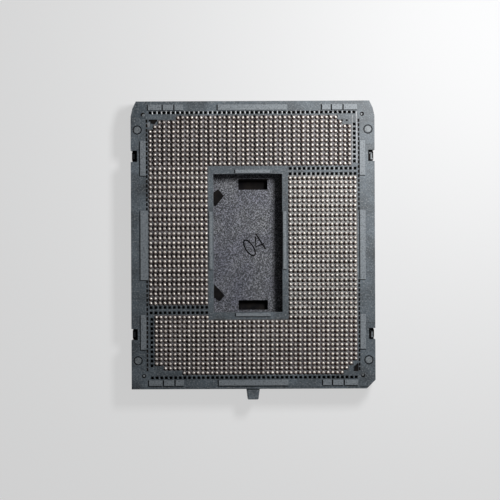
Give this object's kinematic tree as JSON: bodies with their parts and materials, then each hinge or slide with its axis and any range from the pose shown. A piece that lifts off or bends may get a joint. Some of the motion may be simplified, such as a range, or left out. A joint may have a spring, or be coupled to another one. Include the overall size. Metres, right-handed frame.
{
  "type": "cpu socket",
  "caption": "Land grid array processor socket body with a solder ball grid round an open cavity, and a clip-on pick-up cap.",
  "frame": {"origin": "under the centre of the ball grid, on the cap's flat pick-up face, which the part rests on", "axes": "+Z out of the ball side, towards the board; +Y along the long side, away from the cap's finger tab; +X along the short side, towards the wider bank of contacts"},
  "size_m": [0.0422, 0.0517, 0.0048],
  "materials": {
    "housing_plastic": "satin moulded liquid crystal polymer",
    "cap_plastic": "spark-eroded moulded texture",
    "solder": "bright tin alloy"
  },
  "bodies": {
    "cap": {"pick_up_cap": "cap_plastic"},
    "socket": {"housing": "housing_plastic", "balls_top": "solder", "balls_left": "solder", "balls_right": "solder", "balls_bottom": "solder"}
  },
  "joints": [
    {"name": "cap_pull", "type": "slide", "parent": "cap", "child": "socket", "axis": [0, 0, 1], "range_m": [0, 0.01]}
  ]
}
